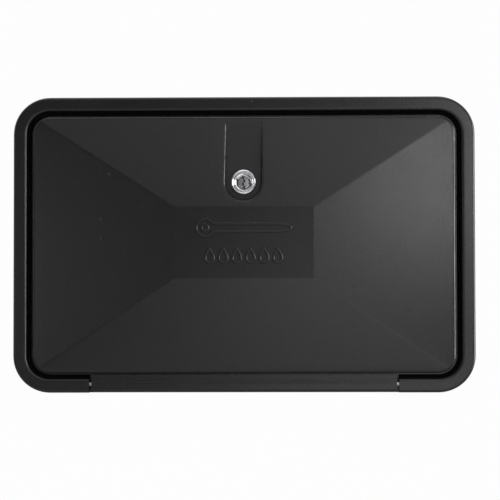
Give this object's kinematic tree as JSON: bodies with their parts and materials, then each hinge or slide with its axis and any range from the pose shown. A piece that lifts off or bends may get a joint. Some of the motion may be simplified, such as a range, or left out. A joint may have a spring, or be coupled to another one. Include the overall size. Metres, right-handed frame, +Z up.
{
  "type": "rv exterior shower box",
  "caption": "Wall box for an outside shower on a caravan: raised rim, faceted drop-down door with a key lock, and inside a mixing valve, a hose outlet and a handset in its clip.",
  "frame": {"origin": "centre of the corner screw pattern, on the plane of the vehicle's outer wall", "axes": "+X to the right along the flange, +Y into the vehicle, +Z up"},
  "size_m": [0.324, 0.138, 0.2074],
  "materials": {
    "black_plastic": "fine moulded texture",
    "seal_foam": "closed cell foam",
    "seal_rubber": "smooth",
    "steel_pin": "drawn",
    "lock_chrome": "bright, handled",
    "zinc_steel": "zinc plated",
    "white_plastic": "moulded gloss",
    "grey_plastic": "moulded",
    "valve_brass": "machined",
    "trim_chrome": "bright",
    "hot_red": "gloss",
    "cold_blue": "gloss"
  },
  "bodies": {
    "box": {"box_shell": "black_plastic", "lock_strike": "black_plastic", "left_hinge_pin": "steel_pin", "right_hinge_pin": "steel_pin", "valve_body": "white_plastic", "vacuum_breaker": "white_plastic", "hose_nipple": "valve_brass", "handset_body": "white_plastic", "spray_face": "grey_plastic", "spray_ring": "trim_chrome", "handset_tail": "white_plastic", "handset_clip": "white_plastic", "clip_screws": "zinc_steel", "hot_shank_washer": "seal_rubber", "hot_shank_nut": "grey_plastic", "hot_cartridge": "valve_brass", "hot_bonnet_nut": "valve_brass", "cold_shank_washer": "seal_rubber", "cold_shank_nut": "grey_plastic", "cold_cartridge": "valve_brass", "cold_bonnet_nut": "valve_brass"},
    "door": {"door_panel": "black_plastic", "door_seal": "seal_foam", "lock_barrel": "lock_chrome", "lock_washer": "zinc_steel", "lock_nut": "zinc_steel"},
    "lock_core": {"lock_plug": "lock_chrome", "lock_cam": "zinc_steel", "cam_screw": "zinc_steel"},
    "hot_handle": {"hot_stem": "valve_brass", "hot_knob": "white_plastic", "hot_knob_screw": "zinc_steel", "hot_index_cap": "hot_red"},
    "cold_handle": {"cold_stem": "valve_brass", "cold_knob": "white_plastic", "cold_knob_screw": "zinc_steel", "cold_index_cap": "cold_blue"},
    "spray_switch": {"flow_button": "grey_plastic"}
  },
  "joints": [
    {"name": "door_hinge", "type": "hinge", "parent": "box", "child": "door", "pos_m": [0, -0.007, -0.0975], "axis": [1, 0, 0], "range_deg": [0, 150]},
    {"name": "lock_turn", "type": "hinge", "parent": "door", "child": "lock_core", "pos_m": [0, -0.005, 0.0434], "axis": [0, 1, 0], "range_deg": [0, 90]},
    {"name": "hot_turn", "type": "hinge", "parent": "box", "child": "hot_handle", "pos_m": [-0.0088, 0.045, 0.037], "axis": [0, -1, 0], "range_deg": [0, 90]},
    {"name": "cold_turn", "type": "hinge", "parent": "box", "child": "cold_handle", "pos_m": [0.0928, 0.045, 0.037], "axis": [0, 1, 0], "range_deg": [0, 90]},
    {"name": "spray_slide", "type": "slide", "parent": "box", "child": "spray_switch", "axis": [1, 0, 0], "range_m": [0, 0.01]}
  ]
}
